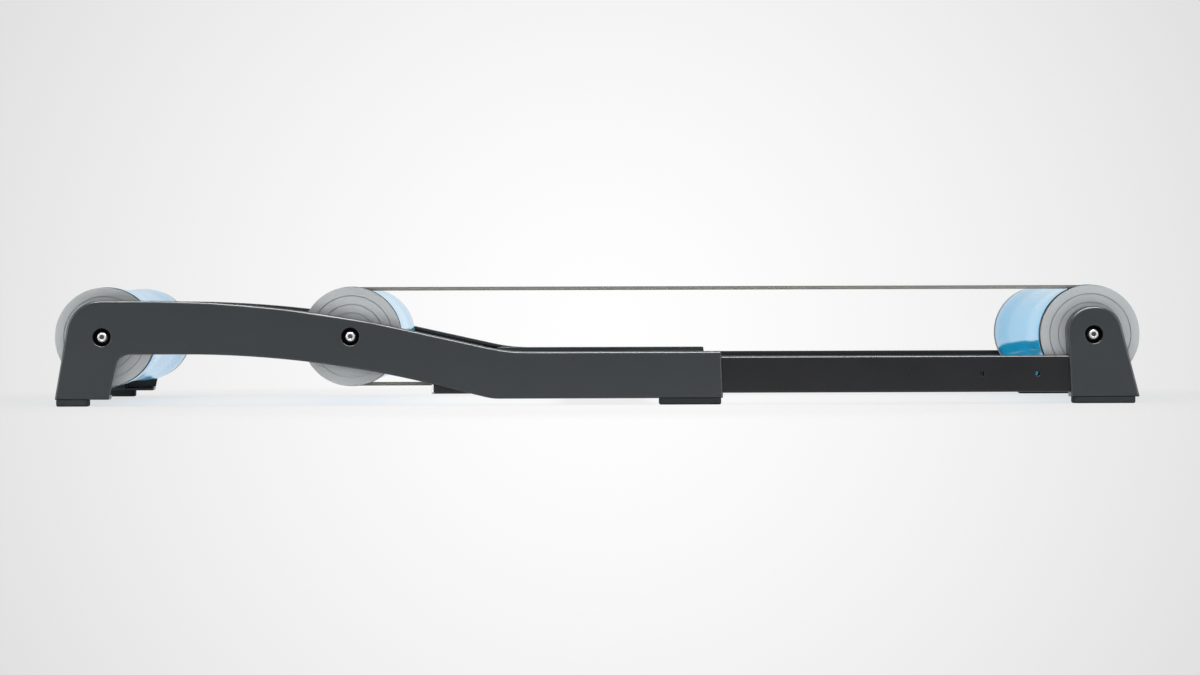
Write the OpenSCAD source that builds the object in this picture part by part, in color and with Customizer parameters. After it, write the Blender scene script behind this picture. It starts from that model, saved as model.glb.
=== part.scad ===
// Telescoping training rollers for a bicycle: a rear frame of two moulded side rails with two
// rollers, and a front carriage with the third roller, whose steel tubes slide out of the rails.
// X points forward, Y to the rider's left and Z up. The origin is on the floor, midway between
// the rear and the front roller. Side pieces are drawn on the right (-Y) side and mirrored.

/* [Layout] */
// Distance between the rear and the front roller axes, frame pulled out
axle_span = 1078.4; // [1040:1:1120]
// Distance between the rear and the middle roller axes
rear_pitch = 269.2; // [255:1:285]
// Height of the roller axes above the floor
axle_z = 75; // [74:1:80]
// Overall width across the side rails
frame_w = 465; // [455:1:500]
// Height of the rubber feet
foot_h = 7; // [5:0.5:9]
// Extra height of the feet under the rear legs
heel_lift = 0.3; // [0.1:0.1:1]

/* [Rollers] */
// Length of a roller over its end caps
roller_l = 411; // [395:1:412]
// Radius of the cylindrical ends of a roller
roller_r = 55; // [53:0.5:56]
// Radius of the narrower middle
waist_r = 52.5; // [50:0.5:53]
// Half length of the narrow middle, where the cones begin
waist_half = 100; // [60:1:130]
// Half length at which the cones reach the full radius
cone_half = 162; // [140:1:175]
// Wall of the roller shell
shell_wall = 3; // [2:0.25:4]
// Depth of an end cap from its face to the shell
cap_l = 17.5; // [16:0.5:20]
// Radius of the cap's outer flange
flange_r = 54; // [53:0.5:55]
// Radius at the bottom of the belt groove
groove_r = 49.7; // [48:0.1:50.5]

/* [Belt] */
// Radius of the round belt's cord
belt_r = 2; // [1.5:0.25:2.5]
// Gap between the belt and the bottom of its groove
belt_gap = 0.3; // [0.2:0.05:0.5]

/* [Axles and bearings] */
// Radius of an axle at its ends
axle_r = 6; // [5:0.5:6]
// Radius of an axle between its two bearings
shoulder_r = 7; // [6.5:0.25:7.5]
// Outer radius of a bearing
bearing_r = 14; // [13:0.5:15]
// Width of a bearing
bearing_w = 8; // [6:0.5:9]
// Radius of a bearing ball
ball_r = 1.95; // [1.5:0.05:2]
// Number of balls in a bearing
ball_count = 8; // [6:1:9]
// Depth of a bearing's face below the cap's face
bearing_sink = 1; // [0.5:0.25:2]
// Radius of the axle screws
screw_r = 3; // [2.5:0.5:3]
// Depth that an axle screw reaches into the axle
screw_grip = 16; // [10:1:20]

/* [Side rails] */
// Depth of a rail's channel, outer face to open edge
rail_depth = 24; // [23.5:0.5:25]
// Wall of the rail's outer face
skin = 3; // [2:0.5:3]
// Thickness of the rail's flanges
flange = 3; // [2:0.5:4]
// Rounding of the rail's outer edges
edge_r = 2.5; // [1:0.25:2.5]
// Height of the rail's arch
rail_top = 114.7; // [110:0.5:118]
// Height of the rail's flat front part
flat_top = 58; // [57:0.5:64]
// Height of the space under the arch
arch_z = 56.3; // [55:0.1:60]
// How far the rear leg stands behind the rear axis
leg_back = 51.4; // [48:0.1:56]
// Length of the rear leg where it stands on the floor
leg_l = 58.8; // [54:0.1:70]
// Where the top line's slope starts, behind the middle axis
slope_back = 82.4; // [70:0.1:95]
// Where the top line's slope ends, ahead of the middle axis
slope_ahead = 170.9; // [160:0.1:185]
// How far the rail's flat front end reaches ahead of the middle axis
rail_ahead = 403; // [380:1:404]
// Wall between the sliding tube and the middle of the frame
inner_wall = 2.4; // [2:0.1:2.6]
// Spacing of the ribs in the arch
rib_pitch = 44; // [30:1:60]
// Thickness of a rib
rib_t = 2; // [1.5:0.25:3]
// Radius of the recess round an axle screw
recess_r = 9.5; // [8.5:0.25:10]
// Depth of the recess
recess_d = 9; // [8.5:0.25:10]

/* [Sliding tubes] */
// Height of a tube
tube_h = 40; // [36:1:40]
// Width of a tube
tube_w = 20; // [18:0.5:20]
// Wall of a tube
tube_wall = 2; // [1.5:0.25:2.5]
// Height of a tube's middle line above the floor
tube_z = 32.5; // [32:0.5:33]
// Length of a tube
tube_l = 742.5; // [690:1:760]
// Gap between a tube and what guides it
slide_gap = 0.3; // [0.2:0.05:0.4]
// Distance of the rear guide pads from the rail's front end
pad_back = 128; // [110:1:140]
// Length of a rear guide pad
pad_l = 25; // [15:1:30]
// Spacing of the holes that set the length
hole_pitch = 61; // [50:1:70]
// Number of hole pitches that the frame can still be pulled out
use_steps = 3; // [2:1:3]
// How far the frame closes from its shortest riding length
stow_travel = 375.4; // [360:0.1:376]
// Radius of the holes
hole_r = 2.75; // [2.5:0.05:3]

/* [Front legs] */
// Height of a front leg
front_top = 105.4; // [103:0.1:108]
// How far a front leg reaches behind the front axis at the floor
front_back = 24.7; // [20:0.1:30]
// How far a front leg reaches ahead of the front axis at the floor
front_ahead = 50.2; // [48:0.1:56]
// Distance from the front axis to the tube's end
tube_ahead = 23.6; // [18:0.1:26]

/* [Crossbars] */
// Radius of the round crossbars
bar_r = 8; // [6:0.5:8]
// Wall of the round crossbars
bar_wall = 1.5; // [1:0.25:2]
// Height of the round crossbars above the floor
bar_z = 19.5; // [18:0.5:21]
// Distance of the round crossbars from their roller's axis
bar_off = 37.6; // [36:0.1:39]
// Width of the flat crossbar
step_l = 100; // [80:1:110]
// Distance of the flat crossbar's middle ahead of the middle axis
step_ahead = 279; // [270:1:290]
// Height of the flat crossbar's top above the floor
step_z = 19; // [17:0.25:19]
// Thickness of the flat crossbar's metal
step_t = 3; // [2:0.25:3]

/* [Length locks] */
// Distance of the lock pins from the rail's front end
lock_back = 30; // [26:1:34]
// Radius of a lock pin
pin_r = 2.5; // [2:0.1:2.6]
// Travel of a lock pin, from parked to locked
pin_travel = 5; // [4:0.25:6]
// Radius of a lock's housing
housing_r = 6.8; // [6.5:0.1:7]
// Side wall of a lock's housing
housing_side = 1.5; // [1.2:0.1:1.6]
// Radius of a lock's knob
knob_r = 11; // [9:0.5:13]
// Number of finger grooves round a knob
knob_grooves = 8; // [5:1:12]
// Radius of the spring's wire
wire_r = 0.45; // [0.3:0.05:0.6]
// Number of the spring's turns
spring_turns = 5; // [3:1:6]

/* [Hidden] */
$fn = 96;

rail_grey = [0.25, 0.27, 0.28];
steel_black = [0.13, 0.13, 0.14];
roller_blue = [0.09, 0.62, 0.83];
cap_grey = [0.65, 0.66, 0.67];
bright_steel = [0.78, 0.79, 0.8];
rubber_black = [0.2, 0.21, 0.22];
belt_grey = [0.55, 0.55, 0.54];
nylon_black = [0.16, 0.17, 0.18];
nylon_pale = [0.75, 0.75, 0.76];

half_w = frame_w / 2;
heel_z = foot_h + heel_lift;
rear_x = -axle_span / 2;
middle_x = rear_x + rear_pitch;
front_x = axle_span / 2;

// Depths count inward from the outer face of the rail.
open_edge = rail_depth;
tube_near = skin + slide_gap;
tube_far = tube_near + tube_w;
wall_near = tube_far + slide_gap;
wall_far = wall_near + inner_wall;
channel_low = tube_z - tube_h / 2 - slide_gap;
channel_high = tube_z + tube_h / 2 + slide_gap;

// The rail's side outline, as corners with their radii, anticlockwise from the rear heel.
lean = 0.1744;
leg_slope = 0.21;
corner_r = 1;
rail_end_x = middle_x + rail_ahead;
rail_end_slant = 1.8;
under_back = slope_back - 36.8;
under_ahead = slope_ahead - 17;
leg_front = rear_x - leg_back + leg_l;
rail_corners = [
    [rear_x - leg_back, heel_z, corner_r],
    [leg_front, heel_z, corner_r],
    [leg_front + leg_slope * (arch_z - heel_z), arch_z, 14],
    [middle_x - under_back, arch_z, 1140],
    [middle_x + under_ahead, foot_h, 60],
    [rail_end_x + rail_end_slant, foot_h, corner_r],
    [rail_end_x, flat_top, corner_r],
    [middle_x + slope_ahead, flat_top, 200],
    [middle_x - slope_back, rail_top, 1345],
    [rear_x - leg_back + lean * (rail_top - heel_z), rail_top, 36.5]
];
box_x = middle_x + under_ahead;

// The front leg's side outline.
front_lean = 0.048;
front_slant = 0.258;
front_corners = [
    [front_x - front_back, foot_h, corner_r],
    [front_x + front_ahead, foot_h, corner_r],
    [front_x + front_ahead - front_slant * (front_top - foot_h), front_top, 29],
    [front_x - front_back - front_lean * (front_top - foot_h), front_top, 27]
];
tube_front_x = front_x + tube_ahead;
tube_tail_x = tube_front_x - tube_l;

// Places along a roller, from its middle.
cap_y = roller_l / 2;
shell_y = cap_y - cap_l;
bearing_y = cap_y - bearing_sink;
belt_y = cap_y - 10;
belt_path_r = groove_r + belt_gap + belt_r;
ball_path_r = (axle_r + bearing_r) / 2;
race_gap = 0.1;

// Places of the length locks.
lock_x = rail_end_x - lock_back;
lock_holes = [
    lock_x + stow_travel,
    lock_x + stow_travel - hole_pitch,
    for (i = [0:use_steps]) lock_x - i * hole_pitch
];
wall_y = half_w - wall_far;
housing_l = 21;
housing_wall = 3;
housing_flange = 2.5;
housing_end = wall_y - housing_l;
collar_y = wall_y - 8.5;
collar_t = 2;
pin_tip = half_w - tube_far - 1.2;
knob_y = housing_end - pin_travel - slide_gap;
knob_l = 16;

// Sizes of the fasteners.
washer_t = 1.2;
washer_r = 6;
head_r = 5;
head_h = 6;
small_r = 2;
small_head_h = 2.2;
flat_screw_r = 2.5;
thread_gap = 0.05;
step_x = middle_x + step_ahead;
ledge_far = wall_far + 18.5;
step_screw_x = step_l / 4;
step_screw_back = 9;
step_base = foot_h + 2;
flat_head_h = 1.9;
flat_head_r = flat_screw_r + flat_head_h;
collar_cheek = 6;
tongue_gap = 0.1;
tongue_l = 27;
leg_screw_x = tube_front_x - 14;
leg_screw_z = 10;
bar_end = 5;
bar_screw_depth = 14;
rear_bar_x = rear_x - bar_off;
front_bar_x = front_x + bar_off - 0.5;

// Places and lengths of the feet, and of the pegs along them.
rear_foot_x = rear_x - 32.6;
rear_foot_l = 34.8;
rear_foot_pegs = [11];
middle_foot_l = 67.4;
middle_foot_x = rail_end_x - middle_foot_l / 2;
middle_foot_pegs = [-20, 20];
front_foot_l = 67.9;
front_foot_x = front_x + 11.75;
front_foot_pegs = [-24, 2];
peg_r = 3;
peg_h = 3;
sole_h = 1;

// Outlines: each corner is an arc, whose chords stay within the sagitta of it.
sagitta = 0.04;
function unit(v) = v / norm(v);
function turn(a) = a > 180 ? a - 360 : a < -180 ? a + 360 : a;
function half_angle(p, q, n) = acos(unit(p - q) * unit(n - q)) / 2;
function arc(p, q, n, r, steps) =
    let (
        u = unit(p - q),
        w = unit(n - q),
        h = half_angle(p, q, n),
        c = q + unit(u + w) * r / sin(h),
        s = q + u * r / tan(h) - c,
        e = q + w * r / tan(h) - c,
        a0 = atan2(s.y, s.x),
        da = turn(atan2(e.y, e.x) - a0)
    )
    [for (i = [0:steps]) c + r * [cos(a0 + da * i / steps), sin(a0 + da * i / steps)]];

// Corners moved inward by t, with their radii, so that the outline stays parallel.
function flat2(v) = [v.x, v.y];
function at(v, i) = v[(i + len(v)) % len(v)];
function left(v) = [-v.y, v.x];
function inset(v, t) = [
    for (i = [0:len(v) - 1])
        let (
            d1 = unit(flat2(v[i]) - flat2(at(v, i - 1))),
            d2 = unit(flat2(at(v, i + 1)) - flat2(v[i])),
            m = (left(d1) + left(d2)) / (1 + d1 * d2),
            convex = cross(d1, d2) > 0,
            q = flat2(v[i]) + t * m
        )
        [q.x, q.y, max(0.2, convex ? v[i].z - t : v[i].z + t)]
];
function arc_steps(v, i) =
    let (bend = 180 - 2 * half_angle(flat2(at(v, i - 1)), flat2(v[i]), flat2(at(v, i + 1))))
    ceil(bend / (2 * acos(1 - sagitta / max(v[i].z, 1))));
function outline(v, t = 0) =
    let (w = inset(v, t))
    [
        for (i = [0:len(v) - 1])
            each arc(flat2(at(w, i - 1)), flat2(w[i]), flat2(at(w, i + 1)), w[i].z,
                     arc_steps(v, i))
    ];
function box_corners(w, d, r) =
    [[-w / 2, -d / 2, r], [w / 2, -d / 2, r], [w / 2, d / 2, r], [-w / 2, d / 2, r]];

// Helpers that place pieces by their depth behind the right outer face.
module on_left() {
    mirror([0, 1, 0]) children();
}
module both_sides() {
    children();
    on_left() children();
}
module slab(d0, d1) {
    translate([0, d1 - half_w, 0]) rotate([90, 0, 0]) linear_extrude(d1 - d0) children();
}
module rod(x, z, d0, d1, r, r_far) {
    r_end = is_undef(r_far) ? r : r_far;
    translate([x, d1 - half_w, z]) rotate([90, 0, 0]) cylinder(h = d1 - d0, r1 = r_end, r2 = r);
}
module rect(x0, x1, z0, z1) {
    translate([x0, z0]) square([x1 - x0, z1 - z0]);
}

// An outline from depth 0 to depth d, with its outer edge rounded by edge_r.
module eased_slab(v, d) {
    slab(edge_r, d) polygon(outline(v));
    slab(0, 2 * edge_r) polygon(outline(v, edge_r));
    eased_rim(v);
}

// The ring of small faces that rounds the edge, closed inside the two slabs above.
module eased_rim(v) {
    turns = 3;
    inner = edge_r + 0.5;
    rings = [
        for (k = [0:turns]) [edge_r * (1 - sin(90 * k / turns)), edge_r * (1 - cos(90 * k / turns))],
        [inner, inner],
        [inner, 0]
    ];
    loops = [for (s = rings) outline(v, s[0])];
    n = len(loops[0]);
    m = len(rings);
    points = [for (k = [0:m - 1]) for (p = loops[k]) [p.x, rings[k][1] - half_w, p.y]];
    faces = [
        for (k = [0:m - 1]) for (i = [0:n - 1])
            [k * n + i, k * n + (i + 1) % n, (k + 1) % m * n + (i + 1) % n, (k + 1) % m * n + i]
    ];
    polyhedron(points, faces);
}

// The recess and hole of an axle screw.
module screw_recess(x) {
    rod(x, axle_z, -1, recess_d, recess_r);
    rod(x, axle_z, -0.01, 0.8, recess_r + 0.8, recess_r);
    rod(x, axle_z, -1, open_edge + 1, screw_r + 0.2);
}
module screw_boss(x) {
    rod(x, axle_z, 1, recess_d + 3, recess_r + 3);
    rod(x, axle_z, 1, open_edge, 9);
}

// Rear frame.
module rail_ribs() {
    first = leg_front + rib_pitch;
    last = box_x;
    intersection() {
        slab(skin / 2, open_edge - 3) polygon(outline(rail_corners, flange / 2));
        for (x = [first:rib_pitch:last])
            slab(0, open_edge) rect(x, x + rib_t, channel_high + 0.5, rail_top);
    }
}
module rail() {
    bar_x = rear_bar_x;
    color(rail_grey) difference() {
        union() {
            difference() {
                eased_slab(rail_corners, open_edge);
                slab(skin, open_edge + 1) polygon(outline(rail_corners, flange));
            }
            rail_ribs();
            slab(skin / 2, open_edge)
                rect(middle_x - slope_back, box_x, channel_high, channel_high + flange);
            slab(wall_near, wall_far) polygon([
                [box_x, foot_h],
                [rail_end_x + rail_end_slant, foot_h],
                [rail_end_x, flat_top],
                [box_x, flat_top]
            ]);
            slab(open_edge - 1, wall_near) rect(box_x, rail_end_x, foot_h, foot_h + flange);
            slab(open_edge - 1, wall_near) rect(box_x, rail_end_x, flat_top - flange, flat_top);
            for (x = [rear_x, middle_x]) screw_boss(x);
            rod(bar_x, bar_z, skin / 2, open_edge, bar_r + 2);
            slab(skin / 2, open_edge) rect(bar_x, bar_x + 11, heel_z + 1, bar_z);
            slab(wall_near, ledge_far)
                rect(step_x - step_l / 2 + step_t + 3, step_x + step_l / 2 - step_t - 3,
                     step_base, step_z - step_t);
        }
        slab(skin, wall_near) rect(tube_tail_x - stow_travel - 5, rail_end_x + 10,
                                   channel_low, channel_high);
        slab(skin, wall_near) rect(rail_end_x - 10, rail_end_x + 10,
                                   foot_h + flange, flat_top - flange);
        slab(wall_near - 0.1, wall_far + 1) rect(rail_end_x - collar_cheek, rail_end_x + 10,
                                                 foot_h + flange, flat_top - flange);
        slab(skin, open_edge + 1) rect(tube_tail_x - stow_travel - 5, box_x,
                                       channel_low, channel_high);
        for (x = [rear_x, middle_x]) screw_recess(x);
        rod(bar_x, bar_z, bar_end, open_edge + 1, bar_r + thread_gap);
        rod(lock_x, tube_z, wall_near - 1, wall_far + 1, housing_r + thread_gap);
        step_screw_places() translate([0, 0, foot_h - 1])
            cylinder(h = step_z, r = flat_screw_r + thread_gap);
        bar_screw_hole(bar_x, heel_z);
        foot_peg_holes(rear_foot_x, rear_foot_pegs, open_edge, heel_z);
        foot_peg_holes(middle_foot_x, middle_foot_pegs, wall_far, foot_h);
    }
}
module right_rear_rail() {
    rail();
}
module left_rear_rail() {
    on_left() rail();
}

// Feet: a tapered rubber pad of height h with pegs that plug into the piece above.
module foot_peg_holes(x, pegs, depth, h) {
    for (dx = pegs)
        translate([x + dx, depth / 2 - half_w, h - 1])
            cylinder(h = 1 + peg_h + 0.5, r = peg_r + 0.1);
}
module foot(x, l, pegs, depth, h) {
    w = depth - 1.4;
    draft = 0.7;
    color(rubber_black) translate([x, depth / 2 - half_w, 0]) {
        translate([0, 0, sole_h]) linear_extrude(h - sole_h)
            polygon(outline(box_corners(l, w, 3)));
        linear_extrude(sole_h)
            polygon(outline(box_corners(l - 2 * draft, w - 2 * draft, 3 - draft)));
        for (dx = pegs) translate([dx, 0, sole_h]) cylinder(h = h - sole_h + peg_h, r = peg_r);
    }
}
module right_rear_foot() {
    foot(rear_foot_x, rear_foot_l, rear_foot_pegs, open_edge, heel_z);
}
module left_rear_foot() {
    on_left() right_rear_foot();
}
module right_middle_foot() {
    foot(middle_foot_x, middle_foot_l, middle_foot_pegs, wall_far, foot_h);
}
module left_middle_foot() {
    on_left() right_middle_foot();
}
module right_front_foot() {
    foot(front_foot_x, front_foot_l, front_foot_pegs, open_edge, foot_h);
}
module left_front_foot() {
    on_left() right_front_foot();
}

// Crossbars and their screws.
module round_bar(x) {
    l = 2 * (half_w - bar_end - 0.2);
    color(steel_black) difference() {
        translate([x, l / 2, bar_z]) rotate([90, 0, 0]) difference() {
            cylinder(h = l, r = bar_r);
            translate([0, 0, -1]) cylinder(h = l + 2, r = bar_r - bar_wall);
        }
        both_sides() translate([x, bar_screw_depth - half_w, bar_z - bar_r - 1])
            cylinder(h = bar_r, r = small_r + thread_gap);
    }
}
module bar_screw_hole(x, base) {
    translate([x, bar_screw_depth - half_w, base - 1]) {
        cylinder(h = bar_z - base, r = small_r + thread_gap);
        cylinder(h = 1 + small_head_h + 0.2, r = 2 * small_r);
    }
}
module bar_screws(x, base) {
    color(bright_steel) both_sides() translate([x, bar_screw_depth - half_w, base + 0.2]) {
        difference() {
            cylinder(h = small_head_h, r = 2 * small_r - 0.2);
            translate([0, 0, -1]) cylinder(h = 2, r = 1.4, $fn = 6);
        }
        translate([0, 0, small_head_h - 1])
            cylinder(h = bar_z - bar_r + bar_wall + 2 - base - small_head_h, r = small_r);
    }
}
module rear_crossbar() {
    round_bar(rear_bar_x);
}
module rear_crossbar_screws() {
    bar_screws(rear_bar_x, heel_z);
}
module front_crossbar() {
    round_bar(front_bar_x);
}
module front_crossbar_screws() {
    bar_screws(front_bar_x, foot_h);
}
module middle_crossbar() {
    l = 2 * (wall_y - slide_gap);
    h = step_z - step_base;
    rib_count = 7;
    rib_w = 3;
    rib_h = 0.8;
    rib_end = 30;
    color(steel_black) difference() {
        union() {
            translate([step_x - step_l / 2, -l / 2, step_base]) difference() {
                cube([step_l, l, h]);
                translate([step_t, -1, -1]) cube([step_l - 2 * step_t, l + 2, h + 1 - step_t]);
            }
            for (i = [1:rib_count])
                translate([step_x - step_l / 2 + i * step_l / (rib_count + 1) - rib_w / 2,
                           rib_end - l / 2, step_z - 0.5])
                    cube([rib_w, l - 2 * rib_end, 0.5 + rib_h]);
        }
        step_screw_places() flat_screw_hole(step_z + 0.01);
    }
}
module flat_screw_hole(l) {
    cylinder(h = l, r = flat_screw_r + thread_gap);
    translate([0, 0, l - flat_head_h])
        cylinder(h = flat_head_h, r1 = flat_screw_r + 0.1, r2 = flat_head_r + 0.1);
}
module flat_screw(l) {
    difference() {
        union() {
            cylinder(h = l, r = flat_screw_r);
            translate([0, 0, l - flat_head_h])
                cylinder(h = flat_head_h, r1 = flat_screw_r, r2 = flat_head_r);
        }
        translate([0, 0, l - 1.6]) cylinder(h = 2, r = 1.7, $fn = 6);
    }
}
module step_screw_places() {
    both_sides() for (dx = [-1, 1])
        translate([step_x + dx * step_screw_x, ledge_far - step_screw_back - half_w, 0]) children();
}
module middle_crossbar_screws() {
    color(bright_steel) step_screw_places()
        translate([0, 0, step_base + 0.5]) flat_screw(step_z - step_base - 0.5);
}

// Guides of the sliding tubes.
module guide_collar() {
    tongue = 32;
    proud = 0.3;
    seat_gap = 0.1;
    low = foot_h + flange;
    high = flat_top - flange;
    slant = rail_end_slant / (flat_top - foot_h);
    front_low = rail_end_x + rail_end_slant - slant * flange + proud;
    front_high = rail_end_x + slant * flange + proud;
    color(nylon_black) difference() {
        union() {
            slab(skin + 0.2, wall_near - 0.2) {
                rect(rail_end_x - tongue, rail_end_x - collar_cheek + 1, channel_high, high);
                rect(rail_end_x - tongue, rail_end_x - collar_cheek + 1, low, channel_low);
            }
            slab(skin + 0.2, wall_far - 0.3) polygon([
                [rail_end_x - collar_cheek + seat_gap, low],
                [front_low, low],
                [front_high, high],
                [rail_end_x - collar_cheek + seat_gap, high]
            ]);
        }
        slab(skin, wall_near) rect(rail_end_x - tongue - 1, rail_end_x + 10,
                                   channel_low, channel_high);
    }
}
module right_guide_collar() {
    guide_collar();
}
module left_guide_collar() {
    on_left() guide_collar();
}
module rear_guide_pads() {
    pad_x = rail_end_x - pad_back;
    color(nylon_black) both_sides() slab(skin + 0.2, wall_near - 0.2) {
        rect(pad_x, pad_x + pad_l, channel_high, flat_top - flange);
        rect(pad_x, pad_x + pad_l, foot_h + flange, channel_low);
    }
}

// Length locks: a pin with a knob in a housing, pushed into a tube's hole by a spring.
module lock_part(y0, y1, r) {
    translate([lock_x, -y0, tube_z]) rotate([90, 0, 0]) cylinder(h = y1 - y0, r = r);
}
module lock_housing() {
    color(nylon_black) difference() {
        union() {
            lock_part(housing_end, wall_y + inner_wall - 0.1, housing_r);
            lock_part(wall_y - housing_flange, wall_y, housing_r + 3);
        }
        lock_part(housing_end + housing_wall, wall_y - 1, housing_r - housing_side);
        lock_part(housing_end - 1, wall_y + inner_wall + 1, hole_r);
    }
}
module right_lock_housing() {
    lock_housing();
}
module left_lock_housing() {
    on_left() lock_housing();
}
module lock_pin() {
    color(bright_steel) {
        lock_part(knob_y - 12, pin_tip - 1, pin_r);
        lock_part(collar_y - collar_t, collar_y, housing_r - housing_side - slide_gap);
        translate([lock_x, -pin_tip + 1, tube_z]) rotate([90, 0, 0])
            cylinder(h = 1, r1 = pin_r, r2 = pin_r - 0.8);
    }
}
module right_lock_pin() {
    lock_pin();
}
module left_lock_pin() {
    on_left() lock_pin();
}
module lock_knob() {
    color(rubber_black) difference() {
        translate([lock_x, -knob_y, tube_z]) rotate([-90, 0, 0]) rotate_extrude() polygon([
            [0, 0],
            [knob_r - 5, 0],
            [knob_r - 4, 5],
            [knob_r, 8],
            [knob_r, knob_l - 2],
            [knob_r - 2, knob_l],
            [0, knob_l]
        ]);
        for (i = [0:knob_grooves - 1])
            translate([lock_x, 0, tube_z]) rotate([0, i * 360 / knob_grooves, 0])
                translate([knob_r + 1.2, -knob_y + 4, 0]) rotate([-90, 0, 0])
                    cylinder(h = knob_l, r = 2.4);
        lock_part(knob_y - 12.2, knob_y + 1, pin_r + thread_gap);
    }
}
module right_lock_knob() {
    lock_knob();
}
module left_lock_knob() {
    on_left() lock_knob();
}
module lock_spring() {
    coil_r = (pin_r + housing_r - housing_side) / 2 + 0.4;
    steps = 12;
    sides = 6;
    start = housing_end + housing_wall + wire_r + 0.1;
    rise = collar_y - collar_t - wire_r - 0.1 - start;
    n = spring_turns * steps;
    points = [
        for (i = [0:n]) for (j = [0:sides - 1])
            let (
                a = 360 * i / steps,
                b = 360 * j / sides,
                r = coil_r + wire_r * cos(b)
            )
            [lock_x + r * cos(a), -(start + rise * i / n + wire_r * sin(b)), tube_z + r * sin(a)]
    ];
    faces = [
        for (i = [0:n - 1]) for (j = [0:sides - 1])
            [i * sides + j, i * sides + (j + 1) % sides,
             (i + 1) * sides + (j + 1) % sides, (i + 1) * sides + j]
    ];
    color(bright_steel) polyhedron(points, concat(
        [[for (j = [sides - 1:-1:0]) j]],
        faces,
        [[for (j = [0:sides - 1]) n * sides + j]]
    ));
}
module right_lock_spring() {
    lock_spring();
}
module left_lock_spring() {
    on_left() lock_spring();
}

// Axles, and what holds them in the frame.
module axle(x) {
    reach = half_w - open_edge;
    color(bright_steel) translate([x, 0, axle_z]) rotate([90, 0, 0]) difference() {
        union() {
            translate([0, 0, -reach]) cylinder(h = 2 * reach, r = axle_r);
            translate([0, 0, -(bearing_y - bearing_w)])
                cylinder(h = 2 * (bearing_y - bearing_w), r = shoulder_r);
        }
        for (s = [-1, 1]) translate([0, 0, s * reach])
            translate([0, 0, -screw_grip - 3])
                cylinder(h = 2 * (screw_grip + 3), r = screw_r + thread_gap);
    }
}
module axle_screws(x) {
    under = recess_d - washer_t;
    color(bright_steel) both_sides() difference() {
        union() {
            rod(x, axle_z, under - head_h, under - head_h + 0.5, head_r - 0.5, head_r);
            rod(x, axle_z, under - head_h + 0.5, under, head_r);
            rod(x, axle_z, under - 1, open_edge + screw_grip, screw_r);
        }
        translate([x, under - head_h / 2 - half_w, axle_z]) rotate([90, 0, 0])
            cylinder(h = head_h, r = 2.9, $fn = 6);
    }
}
module axle_washers(x) {
    color(nylon_black) both_sides() difference() {
        rod(x, axle_z, recess_d - washer_t, recess_d, washer_r);
        rod(x, axle_z, 0, open_edge, screw_r + 0.2);
    }
}
module axle_spacers(x) {
    color(bright_steel) both_sides() difference() {
        rod(x, axle_z, open_edge, half_w - bearing_y, axle_r + 2);
        rod(x, axle_z, open_edge - 1, half_w - bearing_y + 1, axle_r + thread_gap);
    }
}
module inner_rings(x) {
    color(bright_steel) both_sides() translate([x, -bearing_y + bearing_w / 2, axle_z])
        rotate([90, 0, 0]) rotate_extrude() difference() {
            translate([axle_r + 0.03, -bearing_w / 2])
                square([ball_path_r - 1.7 - axle_r, bearing_w]);
            translate([ball_path_r, 0]) circle(r = ball_r + race_gap);
        }
}
module bearings(x) {
    shield_t = 0.6;
    inner = ball_path_r + 1.7;
    color(bright_steel) both_sides() translate([x, -bearing_y + bearing_w / 2, axle_z])
        rotate([90, 0, 0]) {
            rotate_extrude() difference() {
                union() {
                    translate([inner, -bearing_w / 2]) square([bearing_r - 0.02 - inner, bearing_w]);
                    for (y = [-bearing_w / 2 + 0.2, bearing_w / 2 - 0.2 - shield_t])
                        translate([ball_path_r - 1.4, y])
                            square([inner - ball_path_r + 1.6, shield_t]);
                }
                translate([ball_path_r, 0]) circle(r = ball_r + race_gap);
            }
            for (i = [0:ball_count - 1]) rotate([0, 0, i * 360 / ball_count])
                translate([ball_path_r, 0, 0]) sphere(r = ball_r, $fn = 32);
        }
}
module rear_axle() {
    axle(rear_x);
}
module middle_axle() {
    axle(middle_x);
}
module front_axle() {
    axle(front_x);
}
module rear_axle_screws() {
    axle_screws(rear_x);
}
module middle_axle_screws() {
    axle_screws(middle_x);
}
module front_axle_screws() {
    axle_screws(front_x);
}
module rear_axle_washers() {
    axle_washers(rear_x);
}
module middle_axle_washers() {
    axle_washers(middle_x);
}
module front_axle_washers() {
    axle_washers(front_x);
}
module rear_axle_spacers() {
    axle_spacers(rear_x);
}
module middle_axle_spacers() {
    axle_spacers(middle_x);
}
module front_axle_spacers() {
    axle_spacers(front_x);
}
module rear_inner_rings() {
    inner_rings(rear_x);
}
module middle_inner_rings() {
    inner_rings(middle_x);
}
module front_inner_rings() {
    inner_rings(front_x);
}
module rear_bearings() {
    bearings(rear_x);
}
module middle_bearings() {
    bearings(middle_x);
}
module front_bearings() {
    bearings(front_x);
}

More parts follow.
